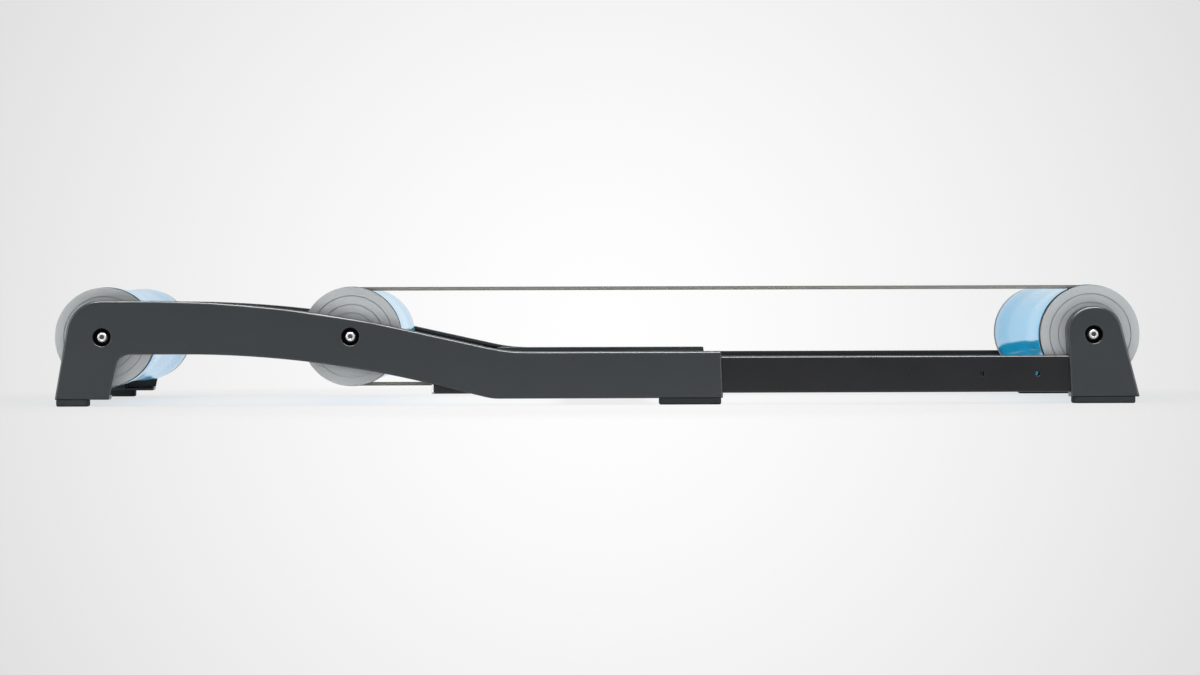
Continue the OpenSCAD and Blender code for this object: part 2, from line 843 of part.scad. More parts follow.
// Rollers: a blue shell with a waist, and a grooved cap plugged into each end.
module shell(x) {
    seat_l = 20;
    seat_r = roller_r - shell_wall;
    core_r = waist_r - shell_wall;
    color(roller_blue) translate([x, 0, axle_z]) rotate([90, 0, 0]) rotate_extrude($fn = 128)
        polygon([
            [roller_r - 0.6, -shell_y],
            [roller_r, -shell_y + 0.6],
            [roller_r, -cone_half],
            [waist_r, -waist_half],
            [waist_r, waist_half],
            [roller_r, cone_half],
            [roller_r, shell_y - 0.6],
            [roller_r - 0.6, shell_y],
            [seat_r, shell_y],
            [seat_r, shell_y - seat_l],
            [core_r, shell_y - seat_l - 6],
            [core_r, -shell_y + seat_l + 6],
            [seat_r, -shell_y + seat_l],
            [seat_r, -shell_y]
        ]);
}
module cap(x) {
    face_t = 4;
    hub_r = bearing_r + 4;
    rim_r = groove_r - 3.5;
    spigot_r = roller_r - shell_wall - thread_gap;
    spigot_l = 15;
    pocket_y = bearing_y - bearing_w;
    rings = [25.5, 34.5, 44];
    ring_w = 0.9;
    ring_d = 0.6;
    color(cap_grey) translate([x, 0, axle_z]) rotate([90, 0, 0]) rotate_extrude($fn = 128)
        polygon(concat(
            [
                [bearing_r, cap_y],
                [bearing_r, pocket_y],
                [bearing_r - 3, pocket_y],
                [bearing_r - 3, pocket_y - 3],
                [hub_r, pocket_y - 3],
                [hub_r, cap_y - face_t],
                [rim_r, cap_y - face_t],
                [rim_r, shell_y - spigot_l],
                [spigot_r, shell_y - spigot_l],
                [spigot_r, shell_y],
                [roller_r - 0.3, shell_y],
                [roller_r - 0.3, shell_y + 1.5],
                [groove_r, belt_y - belt_r - 0.5],
                [groove_r, belt_y + belt_r + 0.5],
                [flange_r - 0.3, cap_y - 4.5],
                [flange_r, cap_y - 4],
                [flange_r, cap_y - 0.8],
                [flange_r - 0.8, cap_y]
            ],
            [
                for (i = [len(rings) - 1:-1:0])
                    each [
                        [rings[i] + ring_w, cap_y],
                        [rings[i] + ring_w / 2, cap_y - ring_d],
                        [rings[i], cap_y]
                    ]
            ]
        ));
}
module rear_roller_shell() {
    shell(rear_x);
}
module middle_roller_shell() {
    shell(middle_x);
}
module front_roller_shell() {
    shell(front_x);
}
module rear_roller_right_cap() {
    cap(rear_x);
}
module rear_roller_left_cap() {
    on_left() cap(rear_x);
}
module middle_roller_right_cap() {
    cap(middle_x);
}
module middle_roller_left_cap() {
    on_left() cap(middle_x);
}
module front_roller_right_cap() {
    cap(front_x);
}
module front_roller_left_cap() {
    on_left() cap(front_x);
}

// The round belt from the middle roller to the front roller, on the right.
module belt_bend() {
    rotate_extrude(angle = 180) translate([belt_path_r, 0]) circle(r = belt_r, $fn = 24);
}
module drive_belt() {
    span = front_x - middle_x;
    color(belt_grey) translate([middle_x, -belt_y, axle_z]) rotate([90, 0, 0]) {
        rotate([0, 0, 90]) belt_bend();
        translate([span, 0, 0]) rotate([0, 0, -90]) belt_bend();
        for (s = [-1, 1]) translate([0, s * belt_path_r, 0]) rotate([0, 90, 0])
            cylinder(h = span, r = belt_r, $fn = 24);
    }
}

// Front carriage.
module tube_section(t, r) {
    polygon(outline(box_corners(tube_w - 2 * t, tube_h - 2 * t, r)));
}
module along_tube(x) {
    translate([x, tube_near + tube_w / 2 - half_w, tube_z]) rotate([90, 0, 90]) children();
}
module tube() {
    color(steel_black) difference() {
        along_tube(tube_tail_x) linear_extrude(tube_l) difference() {
            tube_section(0, 2.5);
            tube_section(tube_wall, 1);
        }
        for (x = lock_holes) rod(x, tube_z, 0, open_edge + 2, hole_r);
        leg_screw_places() translate([0, 0, -tube_wall - 1]) flat_screw_hole(tube_wall + 1.01);
    }
}
module leg_screw_places() {
    for (s = [-1, 1])
        translate([leg_screw_x, tube_far - half_w, tube_z + s * leg_screw_z]) rotate([-90, 0, 0])
            children();
}
module right_front_tube() {
    tube();
}
module left_front_tube() {
    on_left() tube();
}
module tube_end_plugs() {
    plug_t = 2;
    plug_l = 16;
    plug_wall = 2;
    rim_in = 0.2;
    gap = 0.05;
    color(nylon_pale) both_sides() along_tube(tube_tail_x - plug_t) {
        linear_extrude(plug_t) tube_section(rim_in, 2.5);
        linear_extrude(plug_l) difference() {
            tube_section(tube_wall + gap, 1);
            tube_section(tube_wall + plug_wall, 1);
        }
    }
}
module front_leg() {
    bar_x = front_bar_x;
    reach = front_back + front_ahead;
    color(rail_grey) difference() {
        union() {
            difference() {
                eased_slab(front_corners, open_edge);
                intersection() {
                    slab(skin, open_edge + 1) polygon(outline(front_corners, flange));
                    slab(skin, open_edge + 1)
                        rect(front_x - reach, front_x + reach, flat_top, front_top);
                }
                slab(skin, open_edge + 1)
                    rect(front_x - reach, tube_front_x + 0.2, channel_low, channel_high);
            }
            screw_boss(front_x);
            for (a = [35, 90, 145]) intersection() {
                slab(skin / 2, open_edge - 3) polygon(outline(front_corners, flange / 2));
                slab(0, open_edge) translate([front_x, axle_z]) rotate(a)
                    translate([0, -rib_t / 2]) square([reach, rib_t]);
            }
            along_tube(tube_front_x - tongue_l)
                linear_extrude(tongue_l + 1) tube_section(tube_wall + tongue_gap, 1);
        }
        screw_recess(front_x);
        rod(bar_x, bar_z, bar_end, open_edge + 1, bar_r + thread_gap);
        bar_screw_hole(bar_x, foot_h);
        leg_screw_places() translate([0, 0, tube_wall - tube_w])
            cylinder(h = tube_w, r = flat_screw_r + thread_gap);
        foot_peg_holes(front_foot_x, front_foot_pegs, open_edge, foot_h);
    }
}
module right_front_leg() {
    front_leg();
}
module left_front_leg() {
    on_left() front_leg();
}
module front_leg_screws() {
    screw_l = 13;
    color(bright_steel) both_sides() leg_screw_places()
        translate([0, 0, -screw_l]) flat_screw(screw_l);
}

right_rear_rail();
left_rear_rail();
rear_crossbar();
middle_crossbar();
rear_crossbar_screws();
middle_crossbar_screws();
right_rear_foot();
left_rear_foot();
right_middle_foot();
left_middle_foot();
right_guide_collar();
left_guide_collar();
rear_guide_pads();
right_lock_housing();
left_lock_housing();
right_lock_spring();
left_lock_spring();
rear_axle();
middle_axle();
rear_axle_screws();
middle_axle_screws();
rear_axle_washers();
middle_axle_washers();
rear_axle_spacers();
middle_axle_spacers();
rear_inner_rings();
middle_inner_rings();
drive_belt();
right_front_tube();
left_front_tube();
tube_end_plugs();
right_front_leg();
left_front_leg();
front_leg_screws();
front_crossbar();
front_crossbar_screws();
right_front_foot();
left_front_foot();
front_axle();
front_axle_screws();
front_axle_washers();
front_axle_spacers();
front_inner_rings();
rear_roller_shell();
rear_roller_right_cap();
rear_roller_left_cap();
rear_bearings();
middle_roller_shell();
middle_roller_right_cap();
middle_roller_left_cap();
middle_bearings();
front_roller_shell();
front_roller_right_cap();
front_roller_left_cap();
front_bearings();
right_lock_pin();
left_lock_pin();
right_lock_knob();
left_lock_knob();
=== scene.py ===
# %% [markdown]
# # Training rollers on a telescoping frame
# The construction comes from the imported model: every bore, pin and joint is already in its place.
# This script adds what the eye looks for: rounded edges, turned and moulded surfaces, light and
# a camera. It works in metres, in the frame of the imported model, so nothing has to be fitted.

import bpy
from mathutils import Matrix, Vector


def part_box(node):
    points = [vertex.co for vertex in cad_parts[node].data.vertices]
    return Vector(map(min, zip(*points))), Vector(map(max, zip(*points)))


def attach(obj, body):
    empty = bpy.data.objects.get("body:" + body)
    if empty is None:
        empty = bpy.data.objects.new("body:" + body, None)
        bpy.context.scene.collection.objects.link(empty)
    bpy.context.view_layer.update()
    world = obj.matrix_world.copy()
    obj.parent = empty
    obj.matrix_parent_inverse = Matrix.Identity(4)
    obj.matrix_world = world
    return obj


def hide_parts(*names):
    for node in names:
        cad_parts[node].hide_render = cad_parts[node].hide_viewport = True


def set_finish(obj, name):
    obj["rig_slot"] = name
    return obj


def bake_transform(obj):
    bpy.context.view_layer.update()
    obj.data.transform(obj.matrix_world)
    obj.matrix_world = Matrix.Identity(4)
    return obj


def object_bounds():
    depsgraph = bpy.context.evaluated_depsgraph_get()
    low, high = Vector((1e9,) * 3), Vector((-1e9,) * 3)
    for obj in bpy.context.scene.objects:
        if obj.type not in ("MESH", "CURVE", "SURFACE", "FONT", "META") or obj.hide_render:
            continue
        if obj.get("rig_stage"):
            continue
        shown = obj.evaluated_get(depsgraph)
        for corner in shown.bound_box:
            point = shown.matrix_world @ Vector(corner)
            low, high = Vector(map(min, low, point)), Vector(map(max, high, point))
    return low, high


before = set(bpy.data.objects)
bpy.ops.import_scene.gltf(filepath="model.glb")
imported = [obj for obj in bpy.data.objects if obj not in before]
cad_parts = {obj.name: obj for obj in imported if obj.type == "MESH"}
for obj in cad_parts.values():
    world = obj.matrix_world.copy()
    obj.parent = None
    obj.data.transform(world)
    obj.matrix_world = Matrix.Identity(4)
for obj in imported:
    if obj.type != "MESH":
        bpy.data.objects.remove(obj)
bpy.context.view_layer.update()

# %% [markdown]
# ## Helpers
# The object's sizes are written in millimetres and turned to metres by one factor. Only lamps
# and floor are placed in metres. Colours are written as the hex values that a colour picker
# shows, and one function turns them to the linear light that the renderer works with. Another
# function adds any node: settings are plain words, and feeds says what goes into its sockets,
# either another node's output or a constant. Three rollers and two sides repeat all over the
# object, so they are written down once: each roller with the body that carries its axle, and
# each side with its sign along Y.

# %% Units, colours and one function for nodes
import math

import bmesh
import bpy
from mathutils import Matrix, Vector
from mathutils.bvhtree import BVHTree

MM = 0.001
ROLLERS = {"rear": "rear_frame", "middle": "rear_frame", "front": "front_carriage"}
SIDES = {"right": -1, "left": 1}


def linear(hex_colour):
    """An sRGB hex colour as linear RGBA."""
    shares = [int(hex_colour[i:i + 2], 16) / 255 for i in (1, 3, 5)]
    light = [s / 12.92 if s <= 0.04045 else ((s + 0.055) / 1.055) ** 2.4 for s in shares]
    return (*light, 1)


def add(tree, kind, feeds=None, **settings):
    """A new node with its settings, and each named input linked or set."""
    node = tree.nodes.new("ShaderNode" + kind)
    for name, value in settings.items():
        setattr(node, name, value)
    for name, value in (feeds or {}).items():
        if isinstance(value, bpy.types.NodeSocket):
            tree.links.new(value, node.inputs[name])
        else:
            node.inputs[name].default_value = value
    return node


print("a middle grey of #808080 is", round(linear("#808080")[0], 3), "in linear light")

# %% [markdown]
# ## Camera
# The object is seen from the side and nearly level, from about four metres away through a long
# lens. That far away, circles stay circles and the two side rails almost cover each other. The
# camera's height and its slight turns decide how much of the far rail peeps out above the near
# one, so the turns are given to a thousandth of a degree. The focal length is in pixels of a
# picture 1200 pixels wide, and one line turns it to the millimetres that the camera takes.

# %% Camera
IMAGE_WIDTH = 1200
FOCAL_PIXELS = 3570
SENSOR = 36
CAMERA_PLACE = Vector((-58.9, -4110.6, 106.7)) * MM
TURN_RIGHT = 0.888
TILT_DOWN = 0.494
ROLL = 0.174

camera = bpy.data.objects.new("camera", bpy.data.cameras.new("camera"))
bpy.context.scene.collection.objects.link(camera)
bpy.context.scene.camera = camera
camera.data.sensor_width = SENSOR
camera.data.lens = FOCAL_PIXELS / IMAGE_WIDTH * SENSOR
camera.data.clip_end = 100
camera.matrix_world = (
    Matrix.Translation(CAMERA_PLACE)
    @ Matrix.Rotation(math.radians(-TURN_RIGHT), 4, "Z")
    @ Matrix.Rotation(math.radians(90 - TILT_DOWN), 4, "X")
    @ Matrix.Rotation(math.radians(-ROLL), 4, "Z")
)
print("lens", round(camera.data.lens, 1), "mm")

# %% [markdown]
# ## Backdrop
# The studio is a white sweep that darkens a little towards its edges. The world does two jobs
# here: it lights the object evenly from all sides, and to the camera and in reflections it
# shows the sweep. Light Path tells the two apart, so a bright backdrop adds no light to the
# object. The floor will need the same test, so it is a function.

# %% Rays that the eye follows
FOLLOWED = ("Is Camera Ray", "Is Glossy Ray", "Is Transmission Ray")


def shown(tree, rays):
    """One for what the eye sees, straight, mirrored or through glass, and zero for the rest."""
    total = rays[FOLLOWED[0]]
    for kind in FOLLOWED[1:]:
        total = add(tree, "Math", {0: total, 1: rays[kind]}, operation="MAXIMUM").outputs[0]
    return total


print("kinds of rays that see the backdrop", len(FOLLOWED))

# %% [markdown]
# The sweep's brightness falls off with the angle from its middle, down to a darkest value. In
# reflections it falls off further, as the dark end of a studio does, so that black pieces stay
# black. The even light is a plain white of its own strength.

# %% Backdrop
AMBIENT = 0.52
FALL_OFF = 0.209
FALL_POWER = 1.37
SWEEP_HALF_ANGLE = 9.54
SWEEP_DARKEST = 0.75
MIRRORED_DARKEST = 0.3
WHITE = (1, 1, 1, 1)

bpy.context.scene.view_settings.view_transform = "Standard"
world = bpy.data.worlds.new("studio")
bpy.context.scene.world = world
world.use_nodes = True
tree = world.node_tree
tree.nodes.clear()
sweep_middle = camera.matrix_world.to_3x3() @ Vector((0, 0, -1))
direction = add(tree, "TexCoord").outputs["Generated"]
cosine = add(tree, "VectorMath", {0: direction, 1: sweep_middle}, operation="DOT_PRODUCT")
angle = add(tree, "Math", {0: cosine.outputs["Value"]}, operation="ARCCOSINE")
share = add(tree, "Math", {0: angle.outputs[0], 1: math.radians(SWEEP_HALF_ANGLE)},
            operation="DIVIDE")
power = add(tree, "Math", {0: share.outputs[0], 1: FALL_POWER}, operation="POWER")
sweep = add(tree, "Math", {0: power.outputs[0], 1: -FALL_OFF, 2: 1}, operation="MULTIPLY_ADD")
rays = add(tree, "LightPath").outputs
darkest = add(tree, "Mix", {0: rays["Is Camera Ray"], 2: MIRRORED_DARKEST, 3: SWEEP_DARKEST})
floored = add(tree, "Math", {0: sweep.outputs[0], 1: darkest.outputs[0]}, operation="MAXIMUM")
ambient = add(tree, "Background", {"Color": WHITE, "Strength": AMBIENT})
backdrop = add(tree, "Background", {"Color": WHITE, "Strength": floored.outputs[0]})
mixed = add(tree, "MixShader", {0: shown(tree, rays), 1: ambient.outputs[0],
                                2: backdrop.outputs[0]})
add(tree, "OutputWorld", {"Surface": mixed.outputs[0]})
print("the sweep falls to", SWEEP_DARKEST, "away from its middle")

# %% [markdown]
# ## Lamps
# The soft panels give the level. One hangs above, like a softbox over a product table. A second
# one stands behind the camera and keeps the near faces from going black, and one at each end
# lights the rollers' ends. Together with the even light they add up to about one, the level at
# which a surface shows the colour that it is painted.

# %% Soft panels


def softbox(name, place, target, size, watts):
    """A soft rectangular lamp at a place, aimed at a target, all in metres."""
    lamp = bpy.data.lights.new(name, "AREA")
    lamp.shape = "RECTANGLE"
    lamp.size, lamp.size_y = size
    lamp.energy = watts
    panel = bpy.data.objects.new(name, lamp)
    bpy.context.scene.collection.objects.link(panel)
    panel.location = place
    panel.rotation_euler = (Vector(target) - Vector(place)).to_track_quat("-Z", "Y").to_euler()
    return panel


softbox("overhead_panel", (0, -0.2, 2.2), (0, 0, 0), (2.4, 1.2), 9)
softbox("front_panel", (0, -3.2, 1.5), (0, 0, 0.05), (2.4, 1.2), 9)
rear_end_panel = softbox("rear_end_panel", (-1.9, -1.0, 0.5), (-0.5, -0.2, 0.07), (0.8, 1), 17)
front_end_panel = softbox("front_end_panel", (1.9, -1.0, 0.5), (0.5, -0.2, 0.07), (0.8, 1), 15)

# %% [markdown]
# Two strips only make things shine. The edge strip hangs above and in front of the near side,
# where the rounded upper edges mirror it as a thin light line. The roller strip hangs across the
# frame. Both are strong, but matt surfaces don't see them, so the level stays the same.

# %% Strips that only shine
edge_strip = softbox("edge_strip", (0, -1.05, 1.93), (0, -0.23, 0.1), (2.4, 0.85), 220)
roller_strip = softbox("roller_strip", (0, 0, 2.2), (0, 0, 0), (0.5, 3.0), 60)
for lamp in (edge_strip, roller_strip):
    lamp.visible_diffuse = False
print("strips", edge_strip.name, roller_strip.name)

# %% [markdown]
# Two lamps stand in for light that a white floor throws back. The low board stands in front of
# the near rail and lights it from below, and the floor bounce fills the rollers' undersides.
# Neither is seen itself, nor mirrored. These two and the end panels would draw bright patches on
# the floor, so they are listed for the next cell, which keeps them off it.

# %% Light from below
low_board = softbox("low_board", (0, -0.38, 0.008), (0, -0.2325, 0.05), (1.5, 0.14), 3)
floor_bounce = softbox("floor_bounce", (0, 0, 0.002), (0, 0, 1), (1.1, 0.36), 0.9)
for lamp in (low_board, floor_bounce):
    lamp.visible_camera = False
    lamp.visible_glossy = False
off_the_floor = (rear_end_panel, front_end_panel, low_board, floor_bounce)
print("lamps kept off the floor", [lamp.name for lamp in off_the_floor])

# %% [markdown]
# ## Floor
# The floor has to melt into the sweep and still carry the object's soft shadow. It is an oval
# disc, marked as stage because it isn't part of the object. Light linking leaves it out of the
# light of the lamps listed above: their receivers are a collection that excludes the floor.

# %% Floor disc
FLOOR_HALF = (0.98, 0.8)
RIM_POINTS = 96

floor_mesh = bpy.data.meshes.new("floor")
rim = [(FLOOR_HALF[0] * math.cos(a), FLOOR_HALF[1] * math.sin(a), 0)
       for a in (math.tau * i / RIM_POINTS for i in range(RIM_POINTS))]
floor_mesh.from_pydata(rim, [], [range(RIM_POINTS)])
floor = bpy.data.objects.new("floor", floor_mesh)
bpy.context.scene.collection.objects.link(floor)
floor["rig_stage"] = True
all_but_floor = bpy.data.collections.new("all_but_floor")
all_but_floor.objects.link(floor)
all_but_floor.collection_objects[0].light_linking.link_state = "EXCLUDE"
for lamp in off_the_floor:
    lamp.light_linking.receiver_collection = all_but_floor
print("floor", [2 * s for s in FLOOR_HALF], "m across")

# %% [markdown]
# The disc is pale and matt, with some brightness of its own for the eye alone, so that where
# nothing shades it the two add up to the sweep's brightness. That brightness falls off from the
# disc's middle as the sweep's does, over an oval as wide as the sweep's darkening looks from the
# camera. Towards its rim the disc fades out to nothing.

# %% Floor finish
FADE_FROM = 0.5
FADE_TO = 0.99
FLOOR_SHADE = 0.2
FLOOR_LIGHT = 0.8
SWEEP_ON_FLOOR = (0.65, 1.3)

floor_paint = bpy.data.materials.new("studio_floor")
floor_paint.use_nodes = True
tree = floor_paint.node_tree
tree.nodes.clear()
spot = add(tree, "TexCoord").outputs["Object"]


def distance(tree, spot, half_x, half_y):
    """Distance from the floor's middle, as a share of an ellipse with these half axes."""
    scaled = add(tree, "VectorMath", {0: spot, 1: (1 / half_x, 1 / half_y, 0)},
                 operation="MULTIPLY")
    return add(tree, "VectorMath", {0: scaled.outputs[0]}, operation="LENGTH").outputs["Value"]


power = add(tree, "Math", {0: distance(tree, spot, *SWEEP_ON_FLOOR), 1: FALL_POWER},
            operation="POWER")
wanted = add(tree, "Math", {0: power.outputs[0], 1: -FALL_OFF, 2: 1 - FLOOR_SHADE * FLOOR_LIGHT},
             operation="MULTIPLY_ADD")
rays = add(tree, "LightPath").outputs
strength = add(tree, "Math", {0: wanted.outputs[0], 1: shown(tree, rays)},
               operation="MULTIPLY")
glow = add(tree, "Emission", {"Color": WHITE, "Strength": strength.outputs[0]})
matt = add(tree, "BsdfDiffuse", {"Color": (FLOOR_SHADE, FLOOR_SHADE, FLOOR_SHADE, 1)})
surface = add(tree, "AddShader", {0: glow.outputs[0], 1: matt.outputs[0]})
fade = add(tree, "MapRange", {"Value": distance(tree, spot, *FLOOR_HALF),
                              "From Min": FADE_FROM, "From Max": FADE_TO},
           interpolation_type="SMOOTHSTEP")
clear = add(tree, "BsdfTransparent")
mixed = add(tree, "MixShader", {0: fade.outputs[0], 1: surface.outputs[0], 2: clear.outputs[0]})
add(tree, "OutputMaterial", {"Surface": mixed.outputs[0]})
floor_mesh.materials.append(floor_paint)
print(floor_paint.name, "fades from", FADE_FROM, "of the way to its rim")

# %% [markdown]
# ## Finishes
# Every finish starts the same way: a material named for the real one, with a single shader.
# Values that are the same all over go straight onto the shader's sockets. What varies, such as
# grain or turning marks, is a small pattern in the object's own coordinates, so it travels
# with the piece when the frame slides.

# %% Start a finish and let its colour drift


def start_finish(name, **sockets):
    """A material with one shader, whose sockets are set by their names."""
    material = bpy.data.materials.new(name)
    material.use_nodes = True
    tree = material.node_tree
    tree.nodes.clear()
    feeds = {socket.replace("_", " "): value for socket, value in sockets.items()}
    shader = add(tree, "BsdfPrincipled", feeds)
    add(tree, "OutputMaterial", {"Surface": shader.outputs[0]})
    return material, tree, shader


def lumps(size_mm):
    """Texture scale at which one lump of a pattern is about this many millimetres across."""
    return 1000 / size_mm


def mottle(tree, shader, dark, light, size_mm):
    """Lets the colour drift between two near tones in soft patches of this size."""
    place = add(tree, "TexCoord").outputs["Object"]
    patches = add(tree, "TexNoise", {"Vector": place, "Scale": lumps(size_mm), "Detail": 3,
                                     "Roughness": 0.6})
    tones = add(tree, "Mix", {0: patches.outputs[0], 6: linear(dark), 7: linear(light)},
                data_type="RGBA")
    tree.links.new(tones.outputs[2], shader.inputs["Base Color"])


print("a lump of 1 mm is a texture scale of", lumps(1))

# %% [markdown]
# ### Glass-filled polypropylene, moulded
# The side rails and front legs are moulded in a dark grey, glass-filled plastic. The mould is
# spark-eroded, which gives a fine even grain and a satin face that never shows a mirror image.
# The real grain is about 0.1 mm. That is too fine to show, so it is drawn 1.1 mm wide and very
# shallow. Faint darker and lighter patches stand for the uneven spread of glass and pigment.

# %% Rails and legs
GRAIN_MM = 1.1
GRAIN_DEPTH_MM = 0.03
PATCH_MM = 45


def moulded_polypropylene():
    """A dark satin plastic with a fine grain."""
    material, tree, shader = start_finish(
        "glass_filled_polypropylene", Roughness=0.3, IOR=1.49)
    mottle(tree, shader, "#212629", "#252a2c", PATCH_MM)
    place = add(tree, "TexCoord").outputs["Object"]
    grain = add(tree, "TexNoise", {"Vector": place, "Scale": lumps(GRAIN_MM), "Detail": 2,
                                   "Roughness": 0.5})
    bump = add(tree, "Bump", {"Strength": 1, "Distance": GRAIN_DEPTH_MM * MM,
                              "Height": grain.outputs[0]})
    tree.links.new(bump.outputs[0], shader.inputs["Normal"])
    return material


polypropylene = moulded_polypropylene()
print(polypropylene.name, "grain", GRAIN_MM, "mm")

# %% [markdown]
# ### Powder-coated steel
# The sliding tubes and the two round crossbars are welded steel tube, and the flat crossbar is
# bent from sheet. All carry a black powder coat. Powder melts and levels only partly, which
# leaves the soft waves called orange peel, 2 to 4 mm from crest to crest, and a gloss that is a
# little uneven.

# %% Tubes and crossbars
PEEL_MM = 3
PEEL_DEPTH_MM = 0.02
CLOUD_MM = 30
GLOSS_DRIFT = 0.05


def powder_coat(name, colour, roughness):
    """A dark coat with orange peel and a gloss that drifts a little about this roughness."""
    material, tree, shader = start_finish(
        name, Base_Color=linear(colour), IOR=1.5, Specular_IOR_Level=0.4)
    place = add(tree, "TexCoord").outputs["Object"]
    peel = add(tree, "TexNoise", {"Vector": place, "Scale": lumps(PEEL_MM), "Detail": 1})
    bump = add(tree, "Bump", {"Strength": 1, "Distance": PEEL_DEPTH_MM * MM,
                              "Height": peel.outputs[0]})
    tree.links.new(bump.outputs[0], shader.inputs["Normal"])
    cloud = add(tree, "TexNoise", {"Vector": place, "Scale": lumps(CLOUD_MM), "Detail": 2})
    gloss = add(tree, "MapRange", {"Value": cloud.outputs[0],
                                   "To Min": roughness - GLOSS_DRIFT,
                                   "To Max": roughness + GLOSS_DRIFT})
    tree.links.new(gloss.outputs[0], shader.inputs["Roughness"])
    return material


tube_coat = powder_coat("powder_coated_tube_steel", "#121316", 0.3)
bar_coat = powder_coat("powder_coated_bar_steel", "#232526", 0.42)
print(tube_coat.name, bar_coat.name)

# %% [markdown]
# ### Sky-blue PVC, turned and polished
# The rollers are plastic tube, turned to their waisted shape and then polished, so they are
# glossy and run true. Seen nearly edge-on, as the camera sees them, such a surface mirrors the
# pale backdrop over its own blue. The lathe leaves faint rings round the roller, which only
# show as a slight unevenness in the gloss.

# %% Roller blue
TURNING_MM = 2.2
TURNING_DEPTH_MM = 0.0015
POLISH = (0.1, 0.14)


def polished_pvc():
    """A glossy blue with faint rings round the roller."""
    material, tree, shader = start_finish(
        "polished_sky_blue_pvc", Base_Color=linear("#10bbf2"), IOR=1.5)
    place = add(tree, "TexCoord").outputs["Object"]
    apart = add(tree, "SeparateXYZ", {"Vector": place})
    along = add(tree, "CombineXYZ", {"Y": apart.outputs["Y"]})
    rings = add(tree, "TexNoise", {"Vector": along.outputs[0], "Scale": lumps(TURNING_MM),
                                   "Detail": 3})
    bump = add(tree, "Bump", {"Strength": 1, "Distance": TURNING_DEPTH_MM * MM,
                              "Height": rings.outputs[0]})
    tree.links.new(bump.outputs[0], shader.inputs["Normal"])
    gloss = add(tree, "MapRange", {"Value": rings.outputs[0], "To Min": POLISH[0],
                                   "To Max": POLISH[1]})
    tree.links.new(gloss.outputs[0], shader.inputs["Roughness"])
    return material


roller_pvc = polished_pvc()
print(roller_pvc.name, "rings", TURNING_MM, "mm")

# %% [markdown]
# ### Grey ABS, turned
# The roller ends are grey ABS, moulded and then faced on a lathe. The tool leaves rings round
# the axle, so the face shines in a soft fan: the highlight is stretched, and the Tangent node
# turns it round the axle. The rings themselves are a wave of the distance from the axle. Their
# real pitch of about 0.3 mm is drawn as 1.4 mm.

# %% Cap grey
RING_PITCH_MM = 1.4
RING_RELIEF_MM = 0.008
CAP_PATCH_MM = 18


def turned_abs():
    """A grey with rings round the axle, along which the highlight stretches."""
    material, tree, shader = start_finish(
        "turned_grey_abs", Roughness=0.38, IOR=1.53, Specular_IOR_Level=0.25,
        Anisotropic=0.7)
    mottle(tree, shader, "#8f9394", "#96999b", CAP_PATCH_MM)
    place = add(tree, "TexCoord").outputs["Object"]
    across = add(tree, "VectorMath", {0: place, 1: (1, 0, 1)}, operation="MULTIPLY")
    radius = add(tree, "VectorMath", {0: across.outputs[0]}, operation="LENGTH")
    turns = add(tree, "Math", {0: radius.outputs["Value"], 1: math.tau * lumps(RING_PITCH_MM)},
                operation="MULTIPLY")
    wave = add(tree, "Math", {0: turns.outputs[0]}, operation="SINE")
    bump = add(tree, "Bump", {"Strength": 1, "Distance": RING_RELIEF_MM * MM,
                              "Height": wave.outputs[0]})
    tree.links.new(bump.outputs[0], shader.inputs["Normal"])
    round_axle = add(tree, "Tangent", direction_type="RADIAL", axis="Y")
    tree.links.new(round_axle.outputs[0], shader.inputs["Tangent"])
    return material


cap_abs = turned_abs()
print(cap_abs.name, "rings", RING_PITCH_MM, "mm")

# %% [markdown]
# ### Steels
# Five steels are used. The axles are turned bar, the screws are zinc-plated, and their sockets
# get a darker steel that paints the shade in them. The bearings are ground, and the springs are
# drawn wire. All share one base: a metal with fine marks. On the turned pieces these run round
# the axle, and on the ground ones they are drawn out along it.

# %% Bare steels
MARK_GLOSS = (0.8, 1.3)


def bare_steel(name, colour, roughness, mark_mm, stretch, depth_mm):
    """Steel with marks mark_mm wide. A factor of 0.1 in stretch draws them out ten times."""
    material, tree, shader = start_finish(
        name, Base_Color=linear(colour), Metallic=1.0)
    place = add(tree, "TexCoord").outputs["Object"]
    drawn = add(tree, "VectorMath", {0: place, 1: stretch}, operation="MULTIPLY")
    marks = add(tree, "TexNoise", {"Vector": drawn.outputs[0], "Scale": lumps(mark_mm),
                                   "Detail": 3})
    bump = add(tree, "Bump", {"Strength": 1, "Distance": depth_mm * MM,
                              "Height": marks.outputs[0]})
    tree.links.new(bump.outputs[0], shader.inputs["Normal"])
    gloss = add(tree, "MapRange", {"Value": marks.outputs[0],
                                   "To Min": roughness * MARK_GLOSS[0],
                                   "To Max": roughness * MARK_GLOSS[1]})
    tree.links.new(gloss.outputs[0], shader.inputs["Roughness"])
    return material


turned_steel = bare_steel("turned_bright_steel", "#c3c5c7", 0.3, 0.8, (0.1, 1, 0.1), 0.006)
plated_steel = bare_steel("zinc_plated_steel", "#f0f1f2", 0.34, 1.5, (1, 1, 1), 0.004)
# A darker steel that paints the shade in the screws' hexagon sockets.
socket_shade_steel = bare_steel("painted_socket_shade", "#77797b", 0.5, 1.5, (1, 1, 1), 0.004)
ground_steel = bare_steel("ground_bearing_steel", "#d2d4d6", 0.16, 0.6, (1, 0.2, 1), 0.002)
spring_wire = bare_steel("drawn_spring_steel", "#a9abad", 0.3, 0.5, (1, 1, 1), 0.003)
print("steels", [steel.name for steel in (turned_steel, plated_steel, socket_shade_steel,
                                          ground_steel, spring_wire)])
